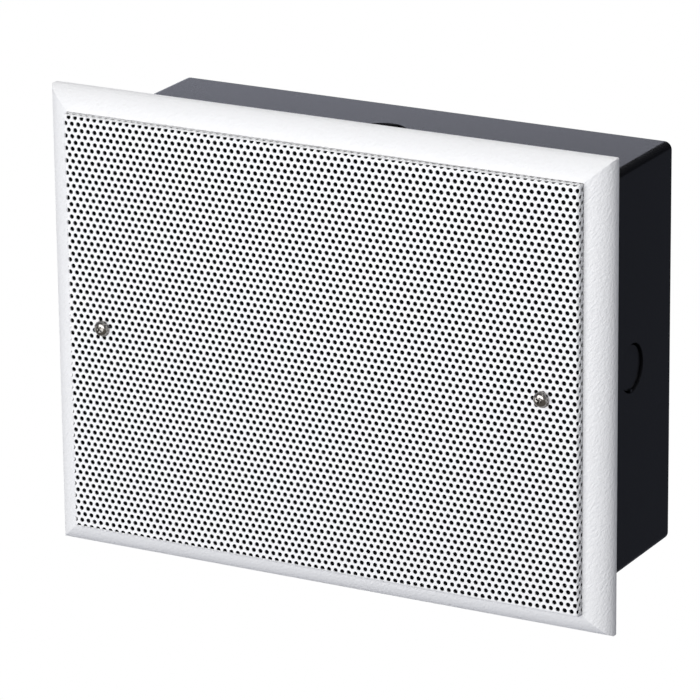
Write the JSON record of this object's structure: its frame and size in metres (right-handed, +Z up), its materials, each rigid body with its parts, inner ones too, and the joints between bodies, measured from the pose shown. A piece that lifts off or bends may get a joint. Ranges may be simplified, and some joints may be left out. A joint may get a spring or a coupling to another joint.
{
  "type": "in-wall speaker",
  "caption": "In-wall loudspeaker with a white bezel, a folded perforated steel grille held by screws, a full-range driver and a black steel back box with cable knockouts.",
  "frame": {"origin": "centre of the bezel, on the surface of the wall it is fixed to", "axes": "+X to the right seen from the room, +Y into the wall, +Z up; the grille faces -Y"},
  "size_m": [0.252, 0.0933, 0.195],
  "materials": {
    "frame_coat": "white powder coat with a fine leather grain",
    "grille_coat": "white powder coat, satin",
    "fleece": "black acoustic cloth",
    "zinc_steel": "bright zinc plate",
    "black_coat": "black paint, satin",
    "basket_coat": "black paint, matt",
    "foam_rubber": "closed-cell foam",
    "surround_rubber": "matt",
    "spider_cloth": "resin-stiffened weave",
    "cone_paper": "pulp, matt",
    "cap_paper": "pulp, matt",
    "former_foil": "thin foil",
    "copper_wire": "enamelled copper",
    "ferrite": "sintered ferrite, matt",
    "phenolic": "paper laminate",
    "tinned_brass": "tinned",
    "block_ceramic": "unglazed",
    "wire_sleeve": "wire insulation",
    "damping_felt": "polyester felt"
  },
  "bodies": {
    "body": {"front_frame": "frame_coat", "grille": "grille_coat", "acoustic_fleece": "fleece", "grille_screws": "zinc_steel", "grille_screw_washers": "zinc_steel", "spacer_sleeves": "zinc_steel", "rivet_nuts": "zinc_steel", "baffle_plate": "black_coat", "baffle_screws": "zinc_steel", "box_gasket": "foam_rubber", "back_box": "black_coat", "driver_gasket": "foam_rubber", "driver_basket": "basket_coat", "driver_screws": "zinc_steel", "driver_nuts": "zinc_steel", "surround": "surround_rubber", "spider": "spider_cloth", "top_plate": "zinc_steel", "magnet": "ferrite", "yoke": "zinc_steel", "tag_strip": "phenolic", "solder_tags": "tinned_brass", "terminal_block": "block_ceramic", "terminal_clamps": "tinned_brass", "clamp_screws": "zinc_steel", "terminal_fixing_screw": "zinc_steel", "hook_up_wires": "wire_sleeve", "damping_pad": "damping_felt"},
    "cone_assembly": {"cone": "cone_paper", "dust_cap": "cap_paper", "voice_coil_former": "former_foil", "voice_coil_winding": "copper_wire"}
  },
  "joints": [
    {"name": "cone_excursion", "type": "slide", "parent": "body", "child": "cone_assembly", "axis": [0, 1, 0], "range_m": [-0.0025, 0.0025], "stiffness_N_per_m": 1200, "deforming": ["surround", "spider"]}
  ]
}
